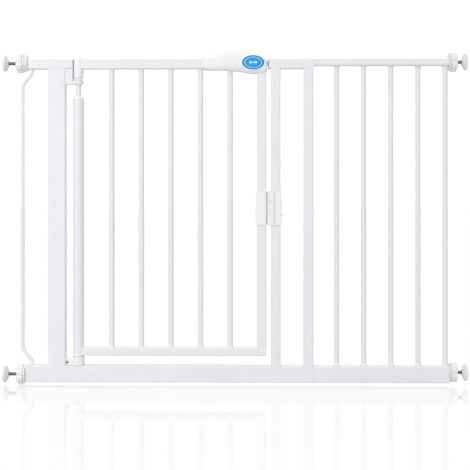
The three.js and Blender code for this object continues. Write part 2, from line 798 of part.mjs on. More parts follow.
function buildCorners() {
  const topZ = RAIL_TOP - RAIL_HEIGHT / 2;
  const baseZ = RAIL_BASE + BASE_HEIGHT / 2;
  const extensionZ = RAIL_TOP - EXTENSION_RAIL_HEIGHT / 2;
  buildCorner("top_left", -1, FRAME_LEFT, RAIL_HEIGHT, topZ, topZ + 2, LONG_NUT);
  buildCorner("bottom_left", -1, BASE_LEFT, BASE_HEIGHT, baseZ, NUT.radius);
  buildCorner("top_right", 1, EXTENSION_RIGHT, EXTENSION_RAIL_HEIGHT, extensionZ, extensionZ);
  buildCorner("bottom_right", 1, EXTENSION_RIGHT, BASE_HEIGHT, baseZ, baseZ + 4.5);
}

buildFrameTubes();
buildWallWire();
buildExtension();
buildUpperHinge();
buildLowerHinge();
buildLeafFrame();
buildLeafHinge();
buildHandle();
buildLatch();
buildStrike();
buildCatch();
buildCorners();

export default gate;
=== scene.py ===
# A pressure-fit safety gate: a welded frame, a swinging barred leaf with a latch handle,
# a five-bar side extension, and four screw-out wall pads. Everything is in metres, in the
# frame of the CAD model, and follows the order in which the gate is put together.
import json
import math

import bmesh
import bpy
from mathutils import Matrix, Vector


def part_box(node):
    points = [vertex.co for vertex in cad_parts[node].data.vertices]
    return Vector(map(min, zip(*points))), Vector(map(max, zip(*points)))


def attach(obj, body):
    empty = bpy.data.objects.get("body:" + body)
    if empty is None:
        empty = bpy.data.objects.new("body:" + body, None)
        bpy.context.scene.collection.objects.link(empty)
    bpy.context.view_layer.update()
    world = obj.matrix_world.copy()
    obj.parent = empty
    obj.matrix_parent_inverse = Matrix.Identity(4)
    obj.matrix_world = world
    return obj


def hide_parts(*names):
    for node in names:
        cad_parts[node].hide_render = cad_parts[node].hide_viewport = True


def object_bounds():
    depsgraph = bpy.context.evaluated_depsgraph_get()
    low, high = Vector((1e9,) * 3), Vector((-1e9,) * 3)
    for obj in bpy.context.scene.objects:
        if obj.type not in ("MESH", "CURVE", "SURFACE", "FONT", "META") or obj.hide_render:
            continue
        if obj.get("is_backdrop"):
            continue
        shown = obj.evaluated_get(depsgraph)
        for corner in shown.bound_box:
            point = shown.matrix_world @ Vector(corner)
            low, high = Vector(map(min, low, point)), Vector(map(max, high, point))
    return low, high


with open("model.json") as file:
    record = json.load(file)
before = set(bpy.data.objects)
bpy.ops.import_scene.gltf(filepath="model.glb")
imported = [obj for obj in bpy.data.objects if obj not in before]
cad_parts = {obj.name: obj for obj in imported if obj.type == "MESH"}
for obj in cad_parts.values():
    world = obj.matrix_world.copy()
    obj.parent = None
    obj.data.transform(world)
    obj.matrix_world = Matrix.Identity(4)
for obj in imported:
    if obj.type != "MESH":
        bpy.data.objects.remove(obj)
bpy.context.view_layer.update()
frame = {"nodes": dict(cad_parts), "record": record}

# ---- Powder coat -----------------------------------------------------------------
# Polyester powder, sprayed on the welded steel and baked. It gives the eye a clean cool
# white with a satin gloss, broken by a shallow orange peel a couple of millimetres wide.
MM = 0.001


def linear(hex_colour):
    """An sRGB hex colour as linear red, green, blue and alpha."""
    parts = [int(hex_colour[i : i + 2], 16) / 255 for i in (0, 2, 4)]
    scene_linear = [c / 12.92 if c <= 0.04045 else ((c + 0.055) / 1.055) ** 2.4 for c in parts]
    return (*scene_linear, 1.0)


def add_node(tree, kind, inputs, **settings):
    """Adds a node, with its settings, and its inputs set to values or linked to outputs."""
    node = tree.nodes.new(kind)
    for name, value in settings.items():
        setattr(node, name, value)
    for socket, value in inputs.items():
        if isinstance(value, bpy.types.NodeSocket):
            tree.links.new(value, node.inputs[socket])
        else:
            node.inputs[socket].default_value = value
    return node


def new_finish(name):
    """An empty material, its node tree, and its Object coordinates."""
    finish = bpy.data.materials.new(name)
    finish.use_nodes = True
    finish.node_tree.nodes.clear()
    place = add_node(finish.node_tree, "ShaderNodeTexCoord", {}).outputs["Object"]
    return finish, finish.node_tree, place


def grain(tree, place, size_mm, detail=2.0):
    """Noise whose lumps are about size_mm across."""
    scale = 1 / (size_mm * MM)
    return add_node(
        tree, "ShaderNodeTexNoise", {"Vector": place, "Scale": scale, "Detail": detail}
    ).outputs["Fac"]


def spread(tree, value, low, high):
    """A noise value brought between two limits."""
    inputs = {"Value": value, "From Min": 0.3, "From Max": 0.7, "To Min": low, "To Max": high}
    return add_node(tree, "ShaderNodeMapRange", inputs).outputs["Result"]


def tint(tree, value, dark, light):
    """A noise value as a colour between two close shades."""
    mix = add_node(tree, "ShaderNodeMix", {}, data_type="RGBA")
    tree.links.new(spread(tree, value, 0, 1), mix.inputs["Factor"])
    mix.inputs["A"].default_value = linear(dark)
    mix.inputs["B"].default_value = linear(light)
    return mix.outputs["Result"]


def finish_with(tree, surface, height, depth_mm, bump):
    """Links a shader's settings, a bump of a real depth, and the output."""
    normal = add_node(
        tree,
        "ShaderNodeBump",
        {"Height": height, "Distance": depth_mm * MM, "Strength": bump},
    ).outputs["Normal"]
    shader = add_node(tree, "ShaderNodeBsdfPrincipled", {**surface, "Normal": normal})
    add_node(tree, "ShaderNodeOutputMaterial", {"Surface": shader.outputs["BSDF"]})


powder_coat, tree, place = new_finish("baked_white_powder_coat")
peel = grain(tree, place, 2.2, 3)
cloud = grain(tree, place, 60)
finish_with(
    tree,
    {
        "Base Color": tint(tree, cloud, "F1F1F6", "F5F5F9"),
        "Roughness": spread(tree, peel, 0.3, 0.4),
        "IOR": 1.5,
    },
    peel,
    0.05,
    0.35,
)

# ---- Square steel tubes ----------------------------------------------------------
# The rails, posts and latch stile are mild-steel tube with 1.5 mm walls, sawn to length
# and welded where they butt. The corners of drawn tube have a radius of about 3 mm.
TUBE_CORNER = 3 * MM
TUBE_WALL = 1.5 * MM
WELD_GAP = 0.2 * MM
WELD_BITE = 1.2 * MM
record = frame["record"]
body_of = {n: body for body, nodes in record["behaviour"]["bodies"].items() for n in nodes}


def ends_of(node):
    low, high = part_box(node)
    return Vector(low), Vector(high)


def middle_of(node):
    low, high = ends_of(node)
    return (low + high) / 2


def rounded_block(low, high, along, corner, edge=0.0, segments=4):
    """A box with its edges along one axis rounded, and then its end edges if edge is set."""
    size = high - low
    bm = bmesh.new()
    bmesh.ops.create_cube(bm, size=1)
    bmesh.ops.scale(bm, vec=size, verts=bm.verts)
    bmesh.ops.translate(bm, vec=(low + high) / 2, verts=bm.verts)
    bm.normal_update()
    corners = [
        e for e in bm.edges if abs((e.verts[0].co - e.verts[1].co)[along]) > size[along] / 2
    ]
    round_off(bm, corners, corner, segments)
    if edge:
        bm.normal_update()
        caps = {f for f in bm.faces if abs(f.normal[along]) > 0.99}
        rims = [e for f in caps for e in f.edges]
        round_off(bm, rims, edge, 3)
    return bm


def round_off(bm, edges, radius, segments):
    bmesh.ops.bevel(
        bm,
        geom=edges,
        offset=radius,
        offset_type="OFFSET",
        affect="EDGES",
        segments=segments,
        profile=0.5,
        material=-1,
    )


def bored(bm, along, wall, closed_end=False):
    """Opens a long block into a tube, right through or as far as its closed high end."""
    bm.normal_update()
    caps = [f for f in bm.faces if abs(f.normal[along]) > 0.99]
    caps.sort(key=lambda f: f.calc_center_median()[along])
    bmesh.ops.inset_individual(bm, faces=caps, thickness=wall)
    if closed_end:
        start, end = (f.calc_center_median()[along] for f in caps)
        pushed = bmesh.ops.extrude_face_region(bm, geom=[caps[0]])["geom"]
        moved = [v for v in pushed if isinstance(v, bmesh.types.BMVert)]
        step = Vector((0, 0, 0))
        step[along] = end - start - wall
        bmesh.ops.translate(bm, vec=step, verts=moved)
        if caps[0].is_valid:
            bmesh.ops.delete(bm, geom=[caps[0]], context="FACES_ONLY")
    else:
        bmesh.ops.delete(bm, geom=caps, context="FACES_ONLY")
        bmesh.ops.bridge_loops(bm, edges=[e for e in bm.edges if e.is_boundary])
    return bm


def make_piece(name, bm, finish, *nodes, body=None):
    """Turns a finished shape into a piece that rides on the body of the nodes it shows."""
    bmesh.ops.remove_doubles(bm, verts=bm.verts, dist=1e-6)
    bmesh.ops.recalc_face_normals(bm, faces=bm.faces)
    mesh = bpy.data.meshes.new(name)
    bm.to_mesh(mesh)
    bm.free()
    mesh.shade_smooth()
    mesh.set_sharp_from_angle(angle=math.radians(38))
    piece = bpy.data.objects.new(name, mesh)
    bpy.context.scene.collection.objects.link(piece)
    piece.data.materials.append(finish)
    weighted = piece.modifiers.new("flat_faces", "WEIGHTED_NORMAL")
    weighted.keep_sharp = True
    if nodes:
        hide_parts(*nodes)
    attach(piece, body or body_of[nodes[0]])
    return piece


def cut(bm, tool, operation="DIFFERENCE"):
    """Cuts one closed shape from another, or joins them, and gives back the result."""
    holders = []
    for shape in (bm, tool):
        bmesh.ops.recalc_face_normals(shape, faces=shape.faces)
        mesh = bpy.data.meshes.new("held_shape")
        shape.to_mesh(mesh)
        shape.free()
        holder = bpy.data.objects.new("held_shape", mesh)
        bpy.context.scene.collection.objects.link(holder)
        holders.append(holder)
    modifier = holders[0].modifiers.new("cut", "BOOLEAN")
    modifier.object = holders[1]
    modifier.operation = operation
    modifier.solver = "EXACT"
    result = bmesh.new()
    result.from_object(holders[0], bpy.context.evaluated_depsgraph_get())
    for holder in holders:
        bpy.data.meshes.remove(holder.data)
    return result


def block(x0, x1, y0, y1, z0, z1):
    """A plain block for cutting with, in metres."""
    bm = bmesh.new()
    bmesh.ops.create_cube(bm, size=1)
    bmesh.ops.scale(bm, vec=(x1 - x0, y1 - y0, z1 - z0), verts=bm.verts)
    centre = ((x0 + x1) / 2, (y0 + y1) / 2, (z0 + z1) / 2)
    bmesh.ops.translate(bm, vec=centre, verts=bm.verts)
    return bm


def drill(radius, centre, length, axis="Z", segments=64):
    """A round block for cutting with, centred on a point."""
    bm = bmesh.new()
    bmesh.ops.create_cone(
        bm, cap_ends=True, segments=segments, radius1=radius, radius2=radius, depth=length
    )
    if axis != "Z":
        turn = Matrix.Rotation(math.pi / 2, 3, "Y" if axis == "X" else "X")
        bmesh.ops.rotate(bm, cent=(0, 0, 0), matrix=turn, verts=bm.verts)
    bmesh.ops.translate(bm, vec=centre, verts=bm.verts)
    return bm


def square_tube(node, along, closed_end=False):
    low, high = ends_of(node)
    if along == 2:
        low.z -= WELD_BITE
        high.z += WELD_BITE
    return bored(rounded_block(low, high, along, TUBE_CORNER), along, TUBE_WALL, closed_end)


for node in ("bottom_rail", "extension_bottom_rail", "extension_top_rail"):
    make_piece(f"{node}_coated", square_tube(node, 0), powder_coat, node)
for node in ("top_rail_left", "top_rail_right"):
    make_piece(f"{node}_coated", square_tube(node, 0, True), powder_coat, node)
for node in ("left_post", "latch_post", "outer_post", "leaf_latch_stile"):
    make_piece(f"{node}_coated", square_tube(node, 2), powder_coat, node)

# ---- Leaf rails ------------------------------------------------------------------
# The leaf's two rails are coped to fit round the hinge: the top one round the cap, the
# bottom one round the hinge tube. The top one is slotted for the latch's stem, and the
# bottom one has a drain hole near the hinge.
hinge = middle_of("hinge_pin")
low, high = ends_of("leaf_top_rail")
cap_low, cap_high = ends_of("hinge_cap")
stem = middle_of("thumb_slide")
top_rail = square_tube("leaf_top_rail", 0)
cope = Vector((hinge.x, 0, middle_of("leaf_top_rail").z))
top_rail = cut(top_rail, drill((cap_high.x - cap_low.x) / 2 + 0.3 * MM, cope, 60 * MM))
slot_from, slot_to = stem.x - 16 * MM, stem.x + 7 * MM
top_rail = cut(
    top_rail,
    block(slot_from, slot_to, -4 * MM, 4 * MM, high.z - 6 * MM, high.z + 5 * MM),
)
make_piece("leaf_top_rail_coated", top_rail, powder_coat, "leaf_top_rail")

tube_low, tube_high = ends_of("hinge_tube")
low, high = ends_of("leaf_bottom_rail")
cope = Vector((hinge.x, 0, (low.z + high.z) / 2))
low_rail = square_tube("leaf_bottom_rail", 0, True)
low_rail = cut(low_rail, drill((tube_high.x - tube_low.x) / 2 + WELD_GAP, cope, 60 * MM))
drain = Vector((hinge.x + 30 * MM, 0, high.z))
low_rail = cut(low_rail, drill(3.5 * MM, drain, 8 * MM, segments=32))
make_piece("leaf_bottom_rail_coated", low_rail, powder_coat, "leaf_bottom_rail")

# ---- Round bars ------------------------------------------------------------------
# Ten round steel bars, five in the leaf and five in the extension. Each end is welded to
# its rail, and the bead swells under the paint as a small collar.
TURN_AXES = {"X": Vector((1, 0, 0)), "Y": Vector((0, 1, 0)), "Z": Vector((0, 0, 1))}


def turned(profile, centre, axis="Z", steps=48, closed=False):
    """Spins a profile of (radius, distance along the axis) pairs about an axis."""
    along = TURN_AXES[axis]
    out = TURN_AXES["Y"] if axis == "X" else TURN_AXES["X"]
    bm = bmesh.new()
    points = [bm.verts.new(centre + out * r + along * d) for r, d in profile]
    pairs = list(zip(points, points[1:]))
    if closed:
        pairs.append((points[-1], points[0]))
    lines = [bm.edges.new(pair) for pair in pairs]
    bmesh.ops.spin(
        bm,
        geom=points + lines,
        cent=centre,
        axis=along,
        angle=math.tau,
        steps=steps,
        use_merge=True,
    )
    bmesh.ops.remove_doubles(bm, verts=bm.verts, dist=1e-6)
    return bm


def welded_bar(node, bead_height, bead_swell):
    low, high = ends_of(node)
    centre = (low + high) / 2
    radius = (high.x - low.x) / 2
    half = (high.z - low.z) / 2 + WELD_BITE
    swell = [(t / 8, bead_swell * (1 - math.sin(t / 8 * math.pi / 2))) for t in range(9)]
    foot = [(radius + out, WELD_BITE - half + rise * bead_height) for rise, out in swell]
    top = [(radius + out / 2, half - WELD_BITE - rise * bead_height) for rise, out in swell]
    profile = [(0, -half), (radius, -half), *foot, (radius, 0), *reversed(top)]
    return turned([*profile, (radius, half), (0, half)], centre, steps=40)


for side, bead_height, bead_swell in (("leaf", 4 * MM, 1.6 * MM), ("extension", 7 * MM, 4 * MM)):
    for number in range(1, 6):
        node = f"{side}_bar_{number}"
        bar = welded_bar(node, bead_height, bead_swell)
        make_piece(f"{node}_coated", bar, powder_coat, node)

# ---- Wall-side wire --------------------------------------------------------------
# One round bar, bent twice at each end on a former of about 18 mm, fills the gap beside
# the wall. Its ends are welded to the two rails.
WIRE_RADIUS = 4.25 * MM
WIRE_STUB = 4 * MM
BEND_RADIUS = 18 * MM
BEND_ANGLE = math.radians(40)


def wall_wire():
    low, high = ends_of("wall_wire")
    start = Vector((high.x - WIRE_RADIUS, 0, low.z - WELD_BITE))
    shift = high.x - low.x - 2 * WIRE_RADIUS
    slope = (shift - 2 * BEND_RADIUS * (1 - math.cos(BEND_ANGLE))) / math.sin(BEND_ANGLE)
    rise = 2 * BEND_RADIUS * math.sin(BEND_ANGLE) + slope * math.cos(BEND_ANGLE)
    full = high.z - low.z + 2 * WELD_BITE
    bm = bmesh.new()
    bmesh.ops.create_circle(bm, cap_ends=True, segments=28, radius=WIRE_RADIUS)
    bmesh.ops.translate(bm, vec=start, verts=bm.verts)
    face = bm.faces[:][0]
    heading = 0.0

    def run(length):
        nonlocal face
        made = bmesh.ops.extrude_face_region(bm, geom=[face])["geom"]
        step = Vector((math.sin(heading), 0, math.cos(heading))) * length
        moved = [v for v in made if isinstance(v, bmesh.types.BMVert)]
        bmesh.ops.translate(bm, vec=step, verts=moved)
        face = next(f for f in made if isinstance(f, bmesh.types.BMFace))

    def bend(angle):
        nonlocal face, heading
        side = Vector((math.cos(heading), 0, -math.sin(heading)))
        pivot = face.calc_center_median() + side * math.copysign(BEND_RADIUS, angle)
        made = bmesh.ops.spin(
            bm, geom=[face], cent=pivot, axis=(0, 1, 0), angle=angle, steps=10
        )["geom_last"]
        face = next(f for f in made if isinstance(f, bmesh.types.BMFace))
        heading += angle

    for length, angle in (
        (WIRE_STUB, -BEND_ANGLE),
        (slope, BEND_ANGLE),
        (full - 2 * WIRE_STUB - 2 * rise, BEND_ANGLE),
        (slope, -BEND_ANGLE),
    ):
        run(length)
        bend(angle)
    run(WIRE_STUB)
    return bm


make_piece("wall_wire_coated", wall_wire(), powder_coat, "wall_wire")

# ---- Moulded plastics ------------------------------------------------------------
# The handle, the catch and the hinge's cap, collar and block are white ABS from a polished
# tool, so they are smoother and glossier than the painted steel. The nuts, the bush and the
# slide are a cooler polypropylene from a spark-eroded tool, which leaves a fine matt grain.
gloss_plastic, tree, place = new_finish("white_abs_moulding")
ripple = grain(tree, place, 9)
fine = grain(tree, place, 0.9)
finish_with(
    tree,
    {
        "Base Color": tint(tree, ripple, "F8F8F9", "FBFBFB"),
        "Roughness": spread(tree, fine, 0.24, 0.3),
        "IOR": 1.52,
    },
    ripple,
    0.03,
    0.1,
)

grey_plastic, tree, place = new_finish("matt_polypropylene_moulding")
fine = grain(tree, place, 0.7, 3)
cloud = grain(tree, place, 14)
finish_with(
    tree,
    {
        "Base Color": tint(tree, cloud, "F2F2F5", "F6F6F8"),
        "Roughness": spread(tree, fine, 0.3, 0.42),
        "IOR": 1.49,
    },
    fine,
    0.03,
    0.5,
)

# ---- Zinc-plated and spring steel ------------------------------------------------
# The rods, spindle, bolt and hinge screw are bright zinc over steel, worn dull by handling.
# Their colour is painted dark where the surface turns edge-on to the view: painted shade
# along their edges. The two coil springs are oiled patented wire.
zinc, tree, place = new_finish("zinc_with_painted_edge_shade")
streak = grain(tree, place, 1.4, 4)
bloom = grain(tree, place, 6, 2)
# Painted edge shade: a facing blend turns the zinc's colour dark grey where the surface turns
# away from the view.
edge_on_shade_factor = add_node(tree, "ShaderNodeLayerWeight", {"Blend": 0.5}).outputs["Facing"]
painted_edge_shade = add_node(tree, "ShaderNodeMix", {}, data_type="RGBA")
tree.links.new(edge_on_shade_factor, painted_edge_shade.inputs["Factor"])
tree.links.new(tint(tree, bloom, "A6A8AC", "B4B6BA"), painted_edge_shade.inputs["A"])
painted_edge_shade.inputs["B"].default_value = linear("26272A")
finish_with(
    tree,
    {
        "Base Color": painted_edge_shade.outputs["Result"],
        "Metallic": 1.0,
        "Roughness": spread(tree, streak, 0.26, 0.4),
    },
    streak,
    0.02,
    0.3,
)

spring_steel, tree, place = new_finish("oiled_spring_wire")
draw_marks = grain(tree, place, 0.5, 3)
finish_with(
    tree,
    {
        "Base Color": tint(tree, draw_marks, "6E6F72", "87888B"),
        "Metallic": 1.0,
        "Roughness": spread(tree, draw_marks, 0.22, 0.34),
    },
    draw_marks,
    0.01,
    0.3,
)

# ---- Upper hinge -----------------------------------------------------------------
# A welded bracket, an upright with a lug, carries a flanged bush. The leaf's pin turns in
# it, and the pin's head is covered by a moulded cap that joins the leaf's top rail.
LUG_EDGE = 0.8 * MM
LUG_TOP = 721.3 * MM
BUSH_HOLE = 9.3 * MM


def hinge_bracket():
    low, high = ends_of("upper_hinge_bracket")
    lug_end = high.x - (high.y - low.y) / 2
    upright = cap_low.x - 0.6 * MM
    web = rounded_block(
        Vector((low.x - WELD_GAP, low.y, low.z)),
        Vector((upright, high.y, high.z + WELD_GAP)),
        2,
        LUG_EDGE,
        segments=3,
    )
    lug = rounded_block(
        Vector((low.x, low.y, low.z)), Vector((lug_end, high.y, LUG_TOP)), 0, LUG_EDGE, segments=3
    )
    nose = turned(
        [
            (0, 0),
            (high.y - LUG_EDGE, 0),
            (high.y - 0.2 * LUG_EDGE, 0.2 * LUG_EDGE),
            (high.y, LUG_EDGE),
            (high.y, LUG_TOP - low.z - LUG_EDGE),
            (high.y - 0.2 * LUG_EDGE, LUG_TOP - low.z - 0.2 * LUG_EDGE),
            (high.y - LUG_EDGE, LUG_TOP - low.z),
            (0, LUG_TOP - low.z),
        ],
        Vector((lug_end, 0, low.z)),
        steps=64,
    )
    bracket = cut(cut(web, lug, "UNION"), nose, "UNION")
    return cut(bracket, drill(BUSH_HOLE, Vector((hinge.x, 0, low.z)), 60 * MM))


make_piece("upper_hinge_bracket_coated", hinge_bracket(), powder_coat, "upper_hinge_bracket")

low, high = ends_of("upper_hinge_bush")
flange = (high.x - low.x) / 2
PIN_BORE = 6.85 * MM  # where the pin turns
PIN_FIT = 6.8 * MM  # where the pin is held
sleeve = flange - 1.6 * MM
height = high.z - low.z
make_piece(
    "upper_hinge_bush_moulded",
    turned(
        [
            (PIN_BORE, 0.5 * MM),
            (PIN_BORE + 0.5 * MM, 0),
            (sleeve - 0.4 * MM, 0),
            (sleeve, 0.4 * MM),
            (sleeve, height - 1.2 * MM),
            (flange - 0.3 * MM, height - 1.2 * MM),
            (flange, height - 0.9 * MM),
            (flange, height - 0.3 * MM),
            (flange - 0.3 * MM, height),
            (PIN_BORE + 0.4 * MM, height),
            (PIN_BORE, height - 0.4 * MM),
        ],
        Vector((hinge.x, 0, low.z)),
        closed=True,
    ),
    grey_plastic,
    "upper_hinge_bush",
)

low, high = ends_of("hinge_pin")
pin = (high.x - low.x) / 2
full = high.z - low.z
make_piece(
    "hinge_pin_coated",
    turned(
        [(0, 0), (pin - MM, 0), (pin, MM), (pin, full - MM), (pin - MM, full), (0, full)],
        Vector((hinge.x, 0, low.z)),
    ),
    powder_coat,
    "hinge_pin",
)


def steps_to(degrees, count):
    """Angles from zero to a limit, in radians."""
    return [math.radians(degrees) * i / count for i in range(count + 1)]


def hinge_cap():
    low, high = ends_of("hinge_cap")
    radius = (high.x - low.x) / 2
    full = high.z - low.z
    foot = [
        (radius - 3.4 * MM * math.cos(t) ** 1.5, 7 * MM * math.sin(t)) for t in steps_to(90, 8)
    ]
    dome = [
        (radius * math.cos(t) ** 0.55, full - 7 * MM + 7 * MM * math.sin(t) ** 1.1)
        for t in steps_to(90, 14)
    ]
    roof = full - 11.7 * MM
    mouth = [(PIN_FIT, 0.4 * MM), (PIN_FIT + 0.4 * MM, 0)]
    profile = [(0, roof), (PIN_FIT, roof), *mouth, *foot, *dome[:-1], (0, full)]
    return turned(profile, Vector((hinge.x, 0, low.z)), steps=64)


make_piece("hinge_cap_moulded", hinge_cap(), gloss_plastic, "hinge_cap")

# ---- Hinge tube ------------------------------------------------------------------
# The leaf hangs on a round tube that holds the closing spring. A moulded collar with a
# domed shoulder closes its top round the pin, and a foot plug closes its bottom.
low, high = ends_of("hinge_tube")
outer = (high.x - low.x) / 2
full = high.z - low.z
bore = outer - TUBE_WALL
make_piece(
    "hinge_tube_coated",
    turned(
        [
            (bore, 0),
            (outer - 0.4 * MM, 0),
            (outer, 0.4 * MM),
            (outer, full - 0.4 * MM),
            (outer - 0.4 * MM, full),
            (bore, full),
        ],
        Vector((hinge.x, 0, low.z)),
        steps=72,
        closed=True,
    ),
    powder_coat,
    "hinge_tube",
)

low, high = ends_of("hinge_collar")
shoulder = tube_high.z + WELD_GAP - low.z
dome_height = high.z - low.z - shoulder
crown_edge = PIN_FIT + 0.8 * MM
dome = [
    (
        crown_edge + (outer - crown_edge) * math.cos(t),
        shoulder + MM + (dome_height - MM) * math.sin(t),
    )
    for t in steps_to(88, 12)
]
make_piece(
    "hinge_collar_moulded",
    turned(
        [
            (PIN_FIT, 0),
            (bore - 0.3 * MM, 0),
            (bore - 0.3 * MM, shoulder),
            (outer - 0.3 * MM, shoulder),
            (outer, shoulder + 0.3 * MM),
            *dome,
            (PIN_FIT, high.z - low.z),
        ],
        Vector((hinge.x, 0, low.z)),
        steps=72,
        closed=True,
    ),
    gloss_plastic,
    "hinge_collar",
)

low, high = ends_of("leaf_foot_plug")
insert_from = tube_low.z - WELD_GAP - low.z
foot_radius = (high.x - low.x) / 2
foot = turned(
    [
        (0, 0),
        (foot_radius - 1.2 * MM, 0),
        (foot_radius - 0.3 * MM, 0.4 * MM),
        (foot_radius, 1.2 * MM),
        (foot_radius, insert_from - 3.2 * MM),
        (foot_radius - 0.5 * MM, insert_from - 2.9 * MM),
        (foot_radius - 0.5 * MM, insert_from - 2.5 * MM),
        (foot_radius, insert_from - 2.2 * MM),
        (foot_radius, insert_from),
        (bore - 0.3 * MM, insert_from),
        (bore - 0.3 * MM, high.z - low.z),
        (0, high.z - low.z),
    ],
    Vector((hinge.x, 0, low.z)),
    steps=72,
)
KEY_HALF = 5.8 * MM
SEAT_RADIUS = 8.3 * MM
foot = cut(
    foot,
    block(
        hinge.x - KEY_HALF,
        hinge.x + KEY_HALF,
        -KEY_HALF,
        KEY_HALF,
        low.z - 5 * MM,
        high.z + 5 * MM,
    ),
)
foot = cut(foot, drill(SEAT_RADIUS, Vector((hinge.x, 0, low.z)), 8 * MM))
make_piece("leaf_foot_plug_moulded", foot, gloss_plastic, "leaf_foot_plug")

# ---- Lower hinge -----------------------------------------------------------------
# A moulded cup stands on the bottom rail and is screwed to the wide post through a short
# link. The keyed spindle turns in it, and the leaf rests on its rim.
low, high = ends_of("lower_hinge_block")
cup_radius = high.y
cup_height = high.z - low.z
LINK_HALF = 9 * MM
LINK_HEIGHT = 16 * MM
SCREW_HOLE = 2.3 * MM


def hinge_cup():
    cup = turned(
        [
            (0, 0),
            (cup_radius - 0.5 * MM, 0),
            (cup_radius, 0.5 * MM),
            (cup_radius, cup_height - 4.6 * MM),
            (cup_radius - 0.7 * MM, cup_height - 4.2 * MM),
            (cup_radius - 0.7 * MM, cup_height - 3.6 * MM),
            (cup_radius, cup_height - 3.2 * MM),
            (cup_radius, cup_height - 1.5 * MM),
            (cup_radius - 0.5 * MM, cup_height - 0.4 * MM),
            (cup_radius - 1.5 * MM, cup_height),
            (0, cup_height),
        ],
        Vector((hinge.x, 0, low.z)),
        steps=72,
    )
    link = rounded_block(
        Vector((low.x - WELD_GAP, -LINK_HALF, low.z)),
        Vector((hinge.x - cup_radius + 4 * MM, LINK_HALF, low.z + LINK_HEIGHT)),
        0,
        1.5 * MM,
    )
    body = cut(cup, link, "UNION")
    bore_depth = cup_height - 2.3 * MM
    bored_cup = cut(body, drill(PIN_BORE, Vector((hinge.x, 0, high.z)), 2 * bore_depth))
    screw = middle_of("lower_hinge_screw")
    hole = drill(SCREW_HOLE, Vector((screw.x, -LINK_HALF, screw.z)), 18 * MM, "Y", 24)
    return cut(bored_cup, hole)


make_piece("lower_hinge_block_moulded", hinge_cup(), gloss_plastic, "lower_hinge_block")

# ---- Screws ----------------------------------------------------------------------
# Pan-head screws with a cross recess hold the lower hinge and the catch block. The hinge
# screw is zinc-plated, and the catch block's two are white plastic.
HEAD = 3.4 * MM
HEAD_HEIGHT = 2.2 * MM
SHANK = 1.9 * MM
CROSS_LONG = 2.0 * MM
CROSS_NARROW = 0.45 * MM
CROSS_DEPTH = 1.4 * MM


def pan_screw(node, axis, out):
    """A pan head whose top faces along out (1 or -1) on an axis, with its shank behind."""
    low, high = ends_of(node)
    along = TURN_AXES[axis]
    reach = (high if out > 0 else low).dot(along)
    centre = (low + high) / 2
    seat = centre + along * (reach - out * HEAD_HEIGHT - centre.dot(along))
    shank = (high - low).dot(along) - HEAD_HEIGHT
    dome = [
        (HEAD * math.cos(t), HEAD_HEIGHT * (0.35 + 0.65 * math.sin(t))) for t in steps_to(90, 8)
    ]
    profile = [(0, -shank), (SHANK, -shank), (SHANK, 0), (HEAD, 0), *dome[:-1]]
    profile.append((0, HEAD_HEIGHT))
    bm = turned([(r, d * out) for r, d in profile], seat, axis, steps=32)
    top = seat + along * out * HEAD_HEIGHT
    for wide, tall in ((CROSS_LONG, CROSS_NARROW), (CROSS_NARROW, CROSS_LONG)):
        spans = {"X": (CROSS_DEPTH, wide, tall), "Y": (wide, CROSS_DEPTH, tall)}[axis]
        slot = block(*[c for s in zip(top - Vector(spans), top + Vector(spans)) for c in s])
        bm = cut(bm, slot)
    return bm


hinge_screw = pan_screw("lower_hinge_screw", "Y", -1)
make_piece("lower_hinge_screw_plated", hinge_screw, zinc, "lower_hinge_screw")
for number in (1, 2):
    node = f"catch_screw_{number}"
    make_piece(f"{node}_plated", pan_screw(node, "X", 1), gloss_plastic, node)

# ---- Handle ----------------------------------------------------------------------
# Two smooth ABS shells clamp round the leaf's top rail. The handle swells from the rail to
# a rounded nose at the latch side, with a slot in its back for the thumb slide.
# Each station is x, top, underside and half depth, in millimetres.
HANDLE_STATIONS = [
    (-75, 775.2, 746.4, 13.2),
    (-60, 778.0, 745.6, 14.0),
    (-44, 784.0, 744.8, 15.6),
    (-23, 789.2, 744.6, 17.3),
    (-2, 790.8, 743.6, 18.0),
    (16, 790.4, 741.4, 18.0),
    (34, 787.8, 738.0, 18.0),
    (50, 783.4, 736.8, 18.0),
    (62, 778.9, 737.2, 18.0),
    (71, 775.2, 738.8, 17.6),
    (76, 772.0, 741.6, 15.8),
    (78.5, 767.5, 747.0, 12.5),
]
SEAM = 0.1 * MM


def between(stations, x):
    """A smooth value for each column of the stations at x."""
    i = max(0, min(len(stations) - 2, sum(s[0] <= x for s in stations) - 1))
    before, after = stations[i], stations[i + 1]
    t = (x - before[0]) / (after[0] - before[0])
    values = []
    for column in range(1, len(before)):
        slopes = []
        for k in (i, i + 1):
            first, last = stations[max(0, k - 1)], stations[min(len(stations) - 1, k + 1)]
            slopes.append((last[column] - first[column]) / (last[0] - first[0]))
        span = after[0] - before[0]
        h00, h10 = 2 * t**3 - 3 * t**2 + 1, t**3 - 2 * t**2 + t
        h01, h11 = -2 * t**3 + 3 * t**2, t**3 - t**2
        values.append(
            h00 * before[column]
            + h10 * span * slopes[0]
            + h01 * after[column]
            + h11 * span * slopes[1]
        )
    return values


def skin(rings):
    """Carries a closed ring of points through a row of like rings, and caps both ends."""
    bm = bmesh.new()
    points = [bm.verts.new(p) for p in rings[0]]
    lines = [bm.edges.new(pair) for pair in zip(points, points[1:] + points[:1])]
    bm.faces.new(points)
    for before, after in zip(rings, rings[1:]):
        target = {tuple(round(c, 8) for c in old): new for old, new in zip(before, after)}
        made = bmesh.ops.extrude_edge_only(bm, edges=lines)["geom"]
        fresh = {v for v in made if isinstance(v, bmesh.types.BMVert)}
        lines = [
            e for e in made if isinstance(e, bmesh.types.BMEdge) and fresh.issuperset(e.verts)
        ]
        for vert in fresh:
            vert.co = target[tuple(round(c, 8) for c in vert.co)]
    bmesh.ops.holes_fill(bm, edges=lines, sides=0)
    return bm


